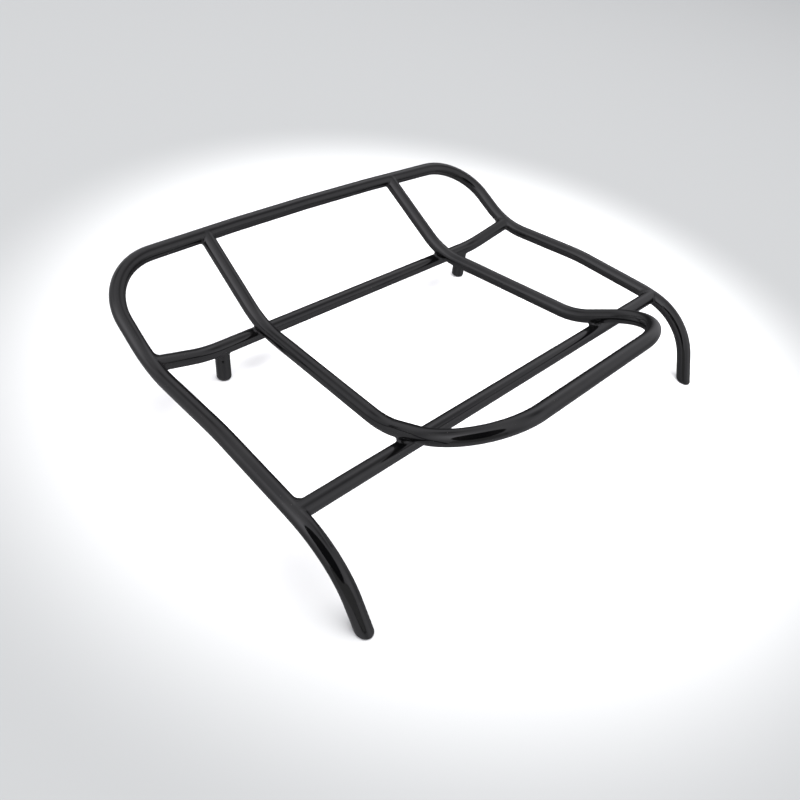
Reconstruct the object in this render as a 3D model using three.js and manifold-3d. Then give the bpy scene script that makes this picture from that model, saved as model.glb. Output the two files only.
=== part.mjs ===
import * as THREE from 'three';
import { mergeVertices } from 'three/addons/utils/BufferGeometryUtils.js';
import Module from 'manifold-3d';

// Trunk-lid luggage rack for a motorcycle: a rigid welded frame of one size of round steel tube.
// Millimetres, +Z up. X runs across the rack and -Y towards the two bent legs. The two leg tips
// and the two posts stand on z = 0. Side is -1 for the left half and +1 for the right half.

// tube stock and clearances
const tubeDiameter = 12.7;
const tubeWall = 1.6;
const contactGap = 0.3;

// outer frame: one tube from leg tip to leg tip, given by the corners of its centreline. Widths are
// counted from the kink's, heights from the kink's, and the foot from the leg bend
const frameHalfWidth = 216.5;
const kinkY = 0;
const kinkHeight = 43.5;
const kinkRadius = 83;
const railInset = 2;
const railCornerY = 83;
const railRise = 38.5;
const railBow = 12.4;
const railBowClearance = 3;
const railCornerRadius = 52.5;
const crownFlare = 3;
const crownY = -96;
const crownRise = 13;
const crownRadius = 197;
const shoulderFlare = 5;
const shoulderY = -174.5;
const shoulderRise = 15;
const shoulderRadius = 91;
const legBendFlare = 5;
const legBendY = -223.5;
const legBendRise = 12.5;
const legBendRadius = 65;
const footInset = 1.5;
const footReach = 29.5;

// inner loop: one U tube from the rear rail, over both cross tubes, to the raised front
const loopEndHalfWidth = 111.5;
const loopDipHalfWidth = 113.5;
const loopDipY = 1;
const loopDipRadius = 77;
const loopRiseHalfWidth = 121.5;
const loopRiseY = -159.5;
const loopRiseRadius = 71;
const loopFrontHalfWidth = 129;
const loopFrontY = -245.5;
const loopFrontRise = 52.5;
const loopFrontRadius = 57.5;

// cross tubes, both under the loop
const rearCrossY = 4.25;
const rearCrossEndY = -0.5;
const rearCrossDrop = 16.75;
const rearCrossKinkInset = 50;
const rearCrossKinkRadius = 77.5;
const frontCrossY = -184;

// posts, leg inserts and their tapped holes
const postHalfSpacing = 151.5;
const postLean = 3;
const postEdgeChamfer = 0.8;
const screwPilotDiameter = 5;
const postHoleDepth = 14;
const insertLength = 14;
const insertHoleDepth = 10;
const insertRecess = 0.6;

// welds
const filletSize = 3;
const crossingWeldRadius = 5.5;

// mesh fineness, and passes that settle the loop on the cross tubes
const tubeSides = 16;
const chordError = 0.25;
const filletSides = 6;
const filletSteps = 20;
const settlePasses = 40;

const tubeRadius = tubeDiameter / 2;
const boreRadius = tubeRadius - tubeWall;
const toolRadius = tubeRadius + contactGap;
const railHalfWidth = frameHalfWidth - railInset;
const legBendHalfWidth = frameHalfWidth + legBendFlare;
const legBendHeight = kinkHeight + legBendRise;
const footHalfWidth = frameHalfWidth - footInset;
const footY = legBendY - footReach;

const wasm = await Module();
wasm.setup();

const blackCoat = { color: 0x0c0c0d, roughness: 0.22, metalness: 0 };
const zincPlate = { color: 0xa7a9a6, roughness: 0.4, metalness: 1 };

// Centreline of a bent tube: straight runs joined by true arcs. Its stations are the ends of the
// straights and equal steps round each bend, close enough to keep each chord near its arc.
class BendPath extends THREE.Curve {
  constructor(corners, radii) {
    super();
    this.points = [corners[0]];
    this.tangents = [corners[1].clone().sub(corners[0]).normalize()];
    radii.forEach((radius, i) => this.addBend(corners[i], corners[i + 1], corners[i + 2], radius));
    const last = corners[corners.length - 1];
    this.points.push(last);
    this.tangents.push(last.clone().sub(corners[corners.length - 2]).normalize());
  }

  addBend(before, corner, after, radius) {
    const inward = corner.clone().sub(before).normalize();
    const outward = after.clone().sub(corner).normalize();
    const turn = inward.angleTo(outward);
    const across = outward.clone().addScaledVector(inward, -outward.dot(inward)).normalize();
    const centre = corner.clone().addScaledVector(inward, -radius * Math.tan(turn / 2));
    centre.addScaledVector(across, radius);
    const steps = Math.ceil(turn / (2 * Math.acos(1 - chordError / radius)));
    for (let k = 0; k <= steps; k++) {
      const cos = Math.cos(turn * k / steps);
      const sin = Math.sin(turn * k / steps);
      const point = centre.clone().addScaledVector(inward, radius * sin);
      this.points.push(point.addScaledVector(across, -radius * cos));
      this.tangents.push(inward.clone().multiplyScalar(cos).addScaledVector(across, sin));
    }
  }

  station(u) {
    return Math.round(u * (this.points.length - 1));
  }

  getPointAt(u) {
    return this.points[this.station(u)].clone();
  }

  getTangentAt(u) {
    return this.tangents[this.station(u)].clone();
  }
}

// Point and direction of a path where its coordinate along 'x' or 'y' has a value, on one side.
function pathWhere(path, axis, value, side) {
  for (let i = 1; i < path.points.length; i++) {
    const [a, b] = [path.points[i - 1], path.points[i]];
    const rightHalf = (a.x + b.x) * side >= 0;
    if (rightHalf && (a[axis] - value) * (b[axis] - value) <= 0) {
      const share = (value - a[axis]) / (b[axis] - a[axis]);
      const direction = path.tangents[i - 1].clone().lerp(path.tangents[i], share).normalize();
      return { point: a.clone().lerp(b, share), direction };
    }
  }
  throw new Error(`the path never reaches ${axis} = ${value}`);
}

// Nearest point of a path to a straight tube that runs along X at the given y and z.
function nearestToCross(path, y, z) {
  let best = { distance: Infinity };
  for (let i = 1; i < path.points.length; i++) {
    const [a, b] = [path.points[i - 1], path.points[i]];
    const [dy, dz] = [b.y - a.y, b.z - a.z];
    const along = ((y - a.y) * dy + (z - a.z) * dz) / (dy * dy + dz * dz || 1);
    const point = a.clone().lerp(b, THREE.MathUtils.clamp(along, 0, 1));
    const distance = Math.hypot(point.y - y, point.z - z);
    if (distance < best.distance) {
      best = { distance, point };
    }
  }
  return best;
}

function circle(ShapeOrPath, radius) {
  const outline = new ShapeOrPath();
  for (let i = 0; i <= tubeSides; i++) {
    const angle = (i % tubeSides) * 2 * Math.PI / tubeSides;
    const [x, y] = [radius * Math.cos(angle), radius * Math.sin(angle)];
    if (i === 0) {
      outline.moveTo(x, y);
    } else {
      outline.lineTo(x, y);
    }
  }
  return outline;
}

function sweep(path, outerRadius, innerRadius = 0) {
  const section = circle(THREE.Shape, outerRadius);
  if (innerRadius > 0) {
    section.holes.push(circle(THREE.Path, innerRadius));
  }
  const steps = path.points.length - 1;
  return solidFrom(new THREE.ExtrudeGeometry(section, { steps, extrudePath: path }));
}

function solidFrom(geometry) {
  geometry.deleteAttribute('normal');
  geometry.deleteAttribute('uv');
  const merged = mergeVertices(geometry, 1e-4);
  const vertProperties = new Float32Array(merged.attributes.position.array);
  const triVerts = new Uint32Array(merged.index.array);
  return new wasm.Manifold(new wasm.Mesh({ numProp: 3, vertProperties, triVerts }));
}

function geometryFrom(solid) {
  const mesh = solid.getMesh();
  const geometry = new THREE.BufferGeometry();
  geometry.setAttribute('position', new THREE.BufferAttribute(mesh.vertProperties, 3));
  geometry.setIndex(new THREE.BufferAttribute(mesh.triVerts, 1));
  geometry.computeVertexNormals();
  return geometry;
}

function vector(x, y, z) {
  return new THREE.Vector3(x, y, z);
}

// A direction with its X turned towards one side.
function onSide(direction, side) {
  return vector(side * Math.abs(direction.x), direction.y, direction.z);
}

// The outer frame's centreline runs from the left foot round the rear rail to the right foot. Both
// ends run on below z = 0, where the feet are cut flat.
function outerFramePath() {
  const halfTurn = Math.atan2(railBow, railHalfWidth);
  const bowTangent = railHalfWidth - railCornerRadius - railBowClearance;
  const half = (side) => [
    vector(side * footHalfWidth, footY, 0),
    vector(side * legBendHalfWidth, legBendY, legBendHeight),
    vector(side * (frameHalfWidth + shoulderFlare), shoulderY, kinkHeight + shoulderRise),
    vector(side * (frameHalfWidth + crownFlare), crownY, kinkHeight + crownRise),
    vector(side * frameHalfWidth, kinkY, kinkHeight),
    vector(side * railHalfWidth, railCornerY, kinkHeight + railRise),
  ];
  const left = half(-1);
  const right = half(1);
  for (const [foot, bend] of [left, right]) {
    const leg = foot.clone().sub(bend);
    foot.addScaledVector(leg, tubeDiameter / leg.length());
  }
  const bow = vector(0, railCornerY + railBow, kinkHeight + railRise);
  const radii = [legBendRadius, shoulderRadius, crownRadius, kinkRadius, railCornerRadius];
  const bowRadius = bowTangent / Math.tan(halfTurn);
  return new BendPath([...left, bow, ...right.reverse()], [...radii, bowRadius, ...radii.reverse()]);
}

// The rear cross tube is low in the middle and rises at both ends to meet the side tubes.
function rearCrossPath(outerPath) {
  const end = pathWhere(outerPath, 'y', rearCrossEndY, 1).point;
  const kink = vector(end.x - rearCrossKinkInset, rearCrossY, end.z - rearCrossDrop);
  const mirrored = (point) => vector(-point.x, point.y, point.z);
  const radii = [rearCrossKinkRadius, rearCrossKinkRadius];
  return new BendPath([mirrored(end), mirrored(kink), kink, end], radii);
}

// The front cross tube is straight and level with the side tubes.
function frontCrossPath(outerPath) {
  const end = pathWhere(outerPath, 'y', frontCrossY, 1).point;
  return new BendPath([vector(-end.x, end.y, end.z), end], []);
}

// The loop's two low corners are raised or lowered until it lies just clear of both cross tubes.
function innerLoopPath(outerPath, rearCross, frontCross) {
  const end = pathWhere(outerPath, 'x', loopEndHalfWidth, 1).point;
  const seat = tubeDiameter + contactGap;
  const rearZ = pathWhere(rearCross, 'x', loopDipHalfWidth, 1).point.z;
  const frontZ = frontCross.points[0].z;
  let dipHeight = rearZ + seat;
  let riseHeight = frontZ;
  let path;
  for (let pass = 0; pass < settlePasses; pass++) {
    const half = (side) => [
      vector(side * end.x, end.y, end.z),
      vector(side * loopDipHalfWidth, loopDipY, dipHeight),
      vector(side * loopRiseHalfWidth, loopRiseY, riseHeight),
      vector(side * loopFrontHalfWidth, loopFrontY, riseHeight + loopFrontRise),
    ];
    const radii = [loopDipRadius, loopRiseRadius, loopFrontRadius];
    path = new BendPath([...half(-1), ...half(1).reverse()], [...radii, ...radii.toReversed()]);
    dipHeight += seat - nearestToCross(path, rearCrossY, rearZ).distance;
    riseHeight += seat - nearestToCross(path, frontCrossY, frontZ).distance;
  }
  return path;
}

// Everything below z = 0 under one foot.
function groundTool(side) {
  const size = 8 * tubeDiameter;
  const block = new THREE.BoxGeometry(size, size, size);
  block.translate(side * footHalfWidth, footY, -size / 2);
  return solidFrom(block);
}

// A solid round post that leans a little towards the legs, with a blind tapped hole from below. It
// is a lathe shape sheared along Y, so that its foot and chamfer stay level.
function postSolid(top) {
  const pilotRadius = screwPilotDiameter / 2;
  const profile = [
    [pilotRadius, 0],
    [tubeRadius - postEdgeChamfer, 0],
    [tubeRadius, postEdgeChamfer],
    [tubeRadius, top.z],
    [0, top.z],
    [0, postHoleDepth],
    [pilotRadius, postHoleDepth],
    [pilotRadius, 0],
  ].map(([radius, height]) => new THREE.Vector2(radius, height));
  const post = new THREE.LatheGeometry(profile, tubeSides);
  post.applyMatrix4(new THREE.Matrix4().set(
    1, 0, 0, top.x,
    0, postLean / top.z, -1, top.y - postLean,
    0, 1, 0, 0,
    0, 0, 0, 1,
  ));
  return solidFrom(post);
}

// A threaded plug pressed into a leg's open end: a short round bar with a blind tapped hole from
// below, its lower face level and just inside the tube.
function insertSolid(side) {
  const foot = vector(side * footHalfWidth, footY, 0);
  const upLeg = vector(side * legBendHalfWidth, legBendY, legBendHeight).sub(foot).normalize();
  const run = (below, above) => new BendPath([
    foot.clone().addScaledVector(upLeg, -below),
    foot.clone().addScaledVector(upLeg, above),
  ], []);
  const plug = sweep(run(tubeRadius, insertLength), boreRadius - contactGap);
  const hole = sweep(run(tubeDiameter, insertHoleDepth), screwPilotDiameter / 2);
  const ground = groundTool(side).translate(0, 0, insertRecess);
  return plug.subtract(hole).subtract(ground);
}

// A fillet weld round a branch tube where it meets a host tube: a torus draped over the host, whose
// ring rises by the host surface's height above the branch's own section.
function filletWeld(joint, branchDirection, hostDirection) {
  const zAxis = branchDirection;
  const lengthwise = hostDirection.dot(zAxis);
  const xAxis = hostDirection.clone().addScaledVector(zAxis, -lengthwise).normalize();
  const yAxis = zAxis.clone().cross(xAxis);
  const sine = Math.sqrt(1 - lengthwise * lengthwise);
  const ring = new THREE.TorusGeometry(tubeRadius, filletSize, filletSides, filletSteps);
  const position = ring.attributes.position;
  for (let i = 0; i < position.count; i++) {
    const angle = Math.atan2(position.getY(i), position.getX(i));
    const chord = Math.sqrt(toolRadius ** 2 - (tubeRadius * Math.sin(angle)) ** 2);
    const rise = (lengthwise * tubeRadius * Math.cos(angle) + chord) / sine;
    position.setZ(i, position.getZ(i) + rise);
  }
  ring.applyMatrix4(new THREE.Matrix4().makeBasis(xAxis, yAxis, zAxis).setPosition(joint));
  return solidFrom(ring);
}

// The weld round the contact of the loop with a cross tube under it: a short plug on the line
// between the two centrelines.
function crossingWeld(loopPath, crossPath, crossY, side) {
  const crossZ = pathWhere(crossPath, 'x', side * loopDipHalfWidth, side).point.z;
  const contact = nearestToCross(loopPath, crossY, crossZ).point;
  const loopPoint = vector(side * Math.abs(contact.x), contact.y, contact.z);
  const crossPoint = vector(loopPoint.x, crossY, crossZ);
  const upward = loopPoint.clone().sub(crossPoint).normalize();
  const plug = new THREE.CylinderGeometry(crossingWeldRadius, crossingWeldRadius, tubeRadius, tubeSides);
  const turn = new THREE.Quaternion().setFromUnitVectors(vector(0, 1, 0), upward);
  plug.applyQuaternion(turn);
  plug.translate(...loopPoint.clone().lerp(crossPoint, 0.5).toArray());
  return solidFrom(plug);
}

const rack = new THREE.Group();

function addPart(name, solid, finish) {
  const mesh = new THREE.Mesh(geometryFrom(solid), new THREE.MeshStandardMaterial(finish));
  mesh.name = name;
  rack.add(mesh);
}

// A weld, trimmed back to keep clear of the tubes that it joins.
function addWeld(name, solid, tubeTools) {
  addPart(name, tubeTools.reduce((rest, tool) => rest.subtract(tool), solid), blackCoat);
}

const outerPath = outerFramePath();
const rearCross = rearCrossPath(outerPath);
const frontCross = frontCrossPath(outerPath);
const loopPath = innerLoopPath(outerPath, rearCross, frontCross);

const outerTool = sweep(outerPath, toolRadius);
const rearCrossTool = sweep(rearCross, toolRadius);
const frontCrossTool = sweep(frontCross, toolRadius);
const loopTool = sweep(loopPath, toolRadius);

const outerFrame = sweep(outerPath, tubeRadius, boreRadius);
addPart('outer_frame', outerFrame.subtract(groundTool(-1)).subtract(groundTool(1)), blackCoat);
addPart('inner_loop', sweep(loopPath, tubeRadius, boreRadius).subtract(outerTool), blackCoat);
addPart('rear_cross_tube', sweep(rearCross, tubeRadius, boreRadius).subtract(outerTool), blackCoat);
addPart('front_cross_tube', sweep(frontCross, tubeRadius, boreRadius).subtract(outerTool), blackCoat);

for (const [side, name] of [[-1, 'left'], [1, 'right']]) {
  const postTop = pathWhere(rearCross, 'x', side * postHalfSpacing, side);
  addPart(`${name}_post`, postSolid(postTop.point).subtract(rearCrossTool), blackCoat);
  addPart(`${name}_leg_insert`, insertSolid(side), zincPlate);

  const postFoot = vector(postTop.point.x, postTop.point.y - postLean, 0);
  const postTool = sweep(new BendPath([postTop.point, postFoot], []), toolRadius);
  const postDown = postFoot.clone().sub(postTop.point).normalize();
  const postWeld = filletWeld(postTop.point, postDown, postTop.direction);
  addWeld(`${name}_post_weld`, postWeld, [rearCrossTool, postTool]);

  const loopSeat = pathWhere(outerPath, 'x', side * loopEndHalfWidth, side);
  const loopLeaves = onSide(loopPath.tangents[0], side);
  const loopEndWeld = filletWeld(loopSeat.point, loopLeaves, loopSeat.direction);
  addWeld(`${name}_loop_end_weld`, loopEndWeld, [outerTool, loopTool]);

  const rearSeat = pathWhere(outerPath, 'y', rearCrossEndY, side);
  const rearLeaves = onSide(rearCross.tangents[0], -side);
  const rearWeld = filletWeld(rearSeat.point, rearLeaves, rearSeat.direction);
  addWeld(`${name}_rear_cross_weld`, rearWeld, [outerTool, rearCrossTool]);

  const frontSeat = pathWhere(outerPath, 'y', frontCrossY, side);
  const frontWeld = filletWeld(frontSeat.point, vector(-side, 0, 0), frontSeat.direction);
  addWeld(`${name}_front_cross_weld`, frontWeld, [outerTool, frontCrossTool]);

  const rearPad = crossingWeld(loopPath, rearCross, rearCrossY, side);
  addWeld(`${name}_loop_over_rear_weld`, rearPad, [loopTool, rearCrossTool]);
  const frontPad = crossingWeld(loopPath, frontCross, frontCrossY, side);
  addWeld(`${name}_loop_over_front_weld`, frontPad, [loopTool, frontCrossTool]);
}

// The origin is under the middle of the rack's box.
const box = new THREE.Box3().setFromObject(rack);
rack.position.y = -(box.min.y + box.max.y) / 2;
const luggageRack = new THREE.Group();
luggageRack.add(rack);

export default luggageRack;
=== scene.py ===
import math
import bpy
import numpy as np
from mathutils import Matrix, Vector


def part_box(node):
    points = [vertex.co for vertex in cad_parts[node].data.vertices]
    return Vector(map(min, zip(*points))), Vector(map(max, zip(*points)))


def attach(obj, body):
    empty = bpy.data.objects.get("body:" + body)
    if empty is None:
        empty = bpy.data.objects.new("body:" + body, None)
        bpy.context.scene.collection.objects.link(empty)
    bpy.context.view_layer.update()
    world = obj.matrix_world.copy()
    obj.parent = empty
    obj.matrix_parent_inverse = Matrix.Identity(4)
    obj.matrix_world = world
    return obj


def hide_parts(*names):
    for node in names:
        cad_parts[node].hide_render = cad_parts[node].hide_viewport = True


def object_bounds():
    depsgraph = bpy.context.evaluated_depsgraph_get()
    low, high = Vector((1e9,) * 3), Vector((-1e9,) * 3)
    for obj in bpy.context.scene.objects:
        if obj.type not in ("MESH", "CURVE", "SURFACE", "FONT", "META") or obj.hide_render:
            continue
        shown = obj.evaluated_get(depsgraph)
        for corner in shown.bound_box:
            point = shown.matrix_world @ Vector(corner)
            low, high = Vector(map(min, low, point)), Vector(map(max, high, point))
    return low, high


# Trunk-lid luggage rack: black tubes, posts and welds, with two zinc plugs in the leg tips.
# Metres, +Z up, the legs towards -Y. Side is -1 for the left half and +1 for the right half.

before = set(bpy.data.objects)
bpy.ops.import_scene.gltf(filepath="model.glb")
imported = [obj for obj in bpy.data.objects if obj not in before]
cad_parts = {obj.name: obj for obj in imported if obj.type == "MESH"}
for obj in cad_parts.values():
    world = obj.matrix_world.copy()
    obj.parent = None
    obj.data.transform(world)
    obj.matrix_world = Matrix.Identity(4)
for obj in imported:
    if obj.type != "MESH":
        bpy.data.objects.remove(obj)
cadLow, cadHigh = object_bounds()
crossLow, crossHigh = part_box("front_cross_tube")
crossMiddle = (crossLow + crossHigh) / 2
tubeRadius = (crossHigh.y - crossLow.y) / 2     # every tube and post is cut from one size of bar
print("frame loaded:", len(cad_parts), "nodes")


def unit(vectors):
    # each vector over its own length
    vectors = np.asarray(vectors, float)
    return vectors / np.linalg.norm(vectors, axis=-1, keepdims=True)


def dots(first, second):
    # dot product row by row, kept as a column
    return np.sum(np.asarray(first) * second, axis=-1, keepdims=True)


def smoothStep(values):
    # 0 below 0, 1 above 1, and 3v² - 2v³ between
    v = np.clip(values, 0, 1)
    return v * v * (3 - 2 * v)


lineMaking = {
    "runStep": 0.009,          # longest piece of a straight run
    "bendStep": 2.0,           # degrees of bend between stations
}

crossTubes = {
    "frontY": -0.184,          # where the front cross tube lies, counted from the side tubes' kink
    "rearY": 0.00425,
    "rearEndY": -0.0005,
    "rearDrop": 0.01675,       # how far the rear cross tube's middle hangs under its ends
    "kinkInset": 0.050,
    "kinkRadius": 0.0775,
}

outerTube = {
    "halfWidth": 0.2165,       # at the kink, level with the rear cross tube
    "kinkHeight": 0.0435,
    "kinkRadius": 0.083,
    "railInset": 0.002,
    "railY": 0.083,
    "railRise": 0.0385,
    "railCornerRadius": 0.0525,
    "railBow": 0.0124,
    "bowClearance": 0.003,
    "crown": (0.003, -0.096, 0.013, 0.197),       # flare, Y, rise over the kink, bend radius
    "shoulder": (0.005, -0.1745, 0.015, 0.091),
    "legBend": (0.005, -0.2235, 0.0125, 0.065),
    "footInset": 0.0015,
    "footReach": 0.0295,
}

loopTube = {
    "endHalfWidth": 0.1115,    # where the loop leaves the rear rail
    "dip": (0.1135, 0.001, 0.077),                # half width, Y, bend radius
    "rise": (0.1215, -0.1595, 0.071),
    "front": (0.129, -0.2455, 0.0575),
    "frontRise": 0.0525,
    "clearance": 0.0003,       # between the loop and each cross tube under it
    "settlePasses": 25,
}

yShift = crossMiddle.y - crossTubes["frontY"]


def place(x, y, z):
    return np.array([x, y + yShift, z])


def bentLine(corners, radii):
    # straight runs joined by true arcs: at a corner that turns by w, an arc of radius r starts
    # r·tan(w/2) before it, and at angle a stands at start + r·sin(a)·inward + r·(1 - cos a)·across
    corners = [np.asarray(corner, float) for corner in corners]
    points, ways = [], []
    here = corners[0]

    def addRun(end, way, closed):
        count = max(1, math.ceil(np.linalg.norm(end - here) / lineMaking["runStep"]))
        shares = np.linspace(0, 1, count + 1)[:, None]
        shares = shares if closed else shares[:-1]
        points.append(here + shares * (end - here))
        ways.append(np.repeat(way[None], len(shares), 0))

    for before, corner, after, radius in zip(corners, corners[1:], corners[2:], radii):
        inward, outward = unit(corner - before), unit(after - corner)
        turn = math.acos(np.clip(inward @ outward, -1, 1))
        across = unit(outward - (outward @ inward) * inward)
        start = corner - inward * radius * math.tan(turn / 2)
        addRun(start, inward, False)
        steps = max(2, math.ceil(math.degrees(turn) / lineMaking["bendStep"]))
        angles = np.linspace(0, turn, steps + 1)[:, None]
        arc = start + radius * (np.sin(angles) * inward + (1 - np.cos(angles)) * across)
        points.append(arc[:-1])
        ways.append((np.cos(angles) * inward + np.sin(angles) * across)[:-1])
        here = arc[-1]
    addRun(corners[-1], unit(corners[-1] - corners[-2]), True)
    return {"points": np.concatenate(points), "ways": np.concatenate(ways)}


def nearestOn(line, places):
    # foot of the perpendicular on every piece of the line, held to its ends, and the closest kept
    starts = line["points"][:-1]
    spans = line["points"][1:] - starts
    gaps = places[:, None, :] - starts[None]
    shares = np.clip(np.sum(gaps * spans, -1) / np.maximum(np.sum(spans * spans, -1), 1e-15), 0, 1)
    feet = starts[None] + shares[..., None] * spans[None]
    distances = np.linalg.norm(places[:, None, :] - feet, axis=-1)
    best = np.argmin(distances, axis=1)
    rows = np.arange(len(places))
    return feet[rows, best], distances[rows, best], line["ways"][best]


def stationWhere(line, axis, value, side):
    # first place on one half of the line where a coordinate has a value, and the way it runs there
    points, ways = line["points"], line["ways"]
    before, after = points[:-1], points[1:]
    crossed = (before[:, axis] - value) * (after[:, axis] - value) <= 0
    crossed &= (before[:, 0] + after[:, 0]) * side >= 0
    i = int(np.argmax(crossed))
    share = (value - before[i, axis]) / (after[i, axis] - before[i, axis])
    return before[i] + share * (after[i] - before[i]), unit(ways[i] + share * (ways[i + 1] - ways[i]))


def outerLine():
    # left foot, round the rear rail, right foot; the rail bows back a little in its middle
    o = outerTube
    width, height = o["halfWidth"], o["kinkHeight"]
    halves = {}
    for side in (-1, 1):
        bends = [o["legBend"], o["shoulder"], o["crown"]]
        corners = [place(side * (width - o["footInset"]), o["legBend"][1] - o["footReach"], 0)]
        corners += [place(side * (width + flare), y, height + rise) for flare, y, rise, _ in bends]
        corners += [place(side * width, 0, height)]
        corners += [place(side * (width - o["railInset"]), o["railY"], height + o["railRise"])]
        halves[side] = corners
    railWidth = width - o["railInset"]
    bowTangent = railWidth - o["railCornerRadius"] - o["bowClearance"]
    bowRadius = bowTangent / math.tan(math.atan2(o["railBow"], railWidth))
    bow = place(0, o["railY"] + o["railBow"], height + o["railRise"])
    radii = [bend[3] for bend in bends] + [o["kinkRadius"], o["railCornerRadius"]]
    return bentLine(halves[-1] + [bow] + halves[1][::-1], radii + [bowRadius] + radii[::-1])


def rearCrossLine(outer):
    # low and straight in the middle, rising at both ends to meet the side tubes
    c = crossTubes
    end, _ = stationWhere(outer, 1, c["rearEndY"] + yShift, 1)
    kink = place(end[0] - c["kinkInset"], c["rearY"], end[2] - c["rearDrop"])
    mirror = np.array([-1, 1, 1])
    return bentLine([end * mirror, kink * mirror, kink, end], [c["kinkRadius"]] * 2)


def frontCrossLine(outer):
    end, _ = stationWhere(outer, 1, crossMiddle.y, 1)
    return bentLine([end * np.array([-1, 1, 1]), end], [])


def loopLine(outer, rearCross, frontCross):
    # rail, dip over the rear cross tube, long run over the front one, raised front corners; the dip
    # and the rise go up or down until the loop lies just clear of both cross tubes
    t = loopTube
    end, _ = stationWhere(outer, 0, t["endHalfWidth"], 1)
    seat = 2 * tubeRadius + t["clearance"]
    rearSeat, _ = stationWhere(rearCross, 0, t["dip"][0], 1)
    frontSeat = frontCross["points"][-1]
    dipHeight, riseHeight = rearSeat[2] + seat, frontSeat[2]
    for _ in range(t["settlePasses"]):
        halves = {}
        for side in (-1, 1):
            corners = [end * np.array([side, 1, 1])]
            corners += [place(side * t["dip"][0], t["dip"][1], dipHeight)]
            corners += [place(side * t["rise"][0], t["rise"][1], riseHeight)]
            corners += [place(side * t["front"][0], t["front"][1], riseHeight + t["frontRise"])]
            halves[side] = corners
        radii = [t["dip"][2], t["rise"][2], t["front"][2]]
        line = bentLine(halves[-1] + halves[1][::-1], radii + radii[::-1])
        flat = {"points": line["points"] * np.array([0, 1, 1]), "ways": line["ways"]}
        flat["points"] = flat["points"][:len(line["points"]) // 2]
        seats = np.array([[0, rearSeat[1], rearSeat[2]], [0, frontSeat[1], frontSeat[2]]])
        _, gaps, _ = nearestOn(flat, seats)
        dipHeight += seat - gaps[0]
        riseHeight += seat - gaps[1]
    return line


outer = outerLine()
rearCross = rearCrossLine(outer)
frontCross = frontCrossLine(outer)
loop = loopLine(outer, rearCross, frontCross)
print("centrelines:", {"outer": len(outer["points"]), "loop": len(loop["points"])})


class Signal:                                     # one output socket that can be used in sums
    def __init__(self, bench, socket):
        self.bench, self.socket = bench, socket

    def sum(self, operation, first, second):
        return self.bench.add("ShaderNodeMath", {"operation": operation}, {0: first, 1: second})

    def __add__(self, other):
        return self.sum("ADD", self, other)

    def __radd__(self, other):
        return self.sum("ADD", other, self)

    def __sub__(self, other):
        return self.sum("SUBTRACT", self, other)

    def __rsub__(self, other):
        return self.sum("SUBTRACT", other, self)

    def __mul__(self, other):
        return self.sum("MULTIPLY", self, other)

    def __rmul__(self, other):
        return self.sum("MULTIPLY", other, self)


class Bench:                                      # one node tree and the only way nodes get into it
    def __init__(self, tree):
        self.tree = tree
        tree.nodes.clear()

    def add(self, kind, settings=None, sockets=None, output=0):
        # settings first, as they may change the sockets; then numbers are set and signals linked
        node = self.tree.nodes.new(kind)
        for name, value in (settings or {}).items():
            setattr(node, name, value)
        for name, value in (sockets or {}).items():
            if isinstance(value, Signal):
                self.tree.links.new(value.socket, node.inputs[name])
            else:
                node.inputs[name].default_value = value
        return Signal(self, node.outputs[output]) if node.outputs else node

    def noise(self, where, scale, detail=2.0, roughness=0.5):
        sockets = {"Vector": where, "Scale": scale, "Detail": detail, "Roughness": roughness}
        return self.add("ShaderNodeTexNoise", {}, sockets)

    def within(self, value, low, high):           # 0 under low, 1 over high, straight between
        sockets = {"Value": value, "From Min": low, "From Max": high}
        return self.add("ShaderNodeMapRange", {"clamp": True}, sockets)

    def blend(self, share, first, second):        # first where share is 0, second where it is 1
        settings = {"data_type": "RGBA", "clamp_factor": True}
        return self.add("ShaderNodeMix", settings, {0: share, 6: first, 7: second}, 2)


def newMaterial(name):
    material = bpy.data.materials.new(name)
    material.use_nodes = True
    return material, Bench(material.node_tree)


powderCoat = {
    "black": (0.0014, 0.0014, 0.0016, 1),
    "thin": (0.0032, 0.0031, 0.0031, 1),          # where the coat is a shade thinner
    "dust": (0.030, 0.029, 0.027, 1),
    "roughness": 0.075,
    "haze": 0.050,                                # roughness added where the coat is a little dull
    "ior": 1.5,
    "peelSize": 0.0016,                           # one wave of the orange peel
    "peelDepth": 0.0000045,
    "flowSize": 0.011,                            # long soft waves left as the coat flowed out
    "flowDepth": 0.0000120,
    "dustSize": 0.0011,
    "dustShare": 0.760,                           # higher leaves fewer specks
    "dustFade": 0.04,
    "dustCover": 0.7,                             # how much of the coat's colour a speck hides
    "dustRoughness": 0.25,
    "hazeNoise": (26, 4, 0.6),                    # waves to a metre, detail, roughness of the noise
    "hazeRange": (0.42, 0.72),                    # where in the noise the patch starts and is full
    "rubNoise": (140, 3, 0.55),
    "rubRange": (0.50, 0.78),
    "rubRoughness": 0.020,
    "thinNoise": (55, 3, 0.5),
    "thinRange": (0.45, 0.75),
    "bumpStrength": 0.1,                          # the depths are divided by it again
}


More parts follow.
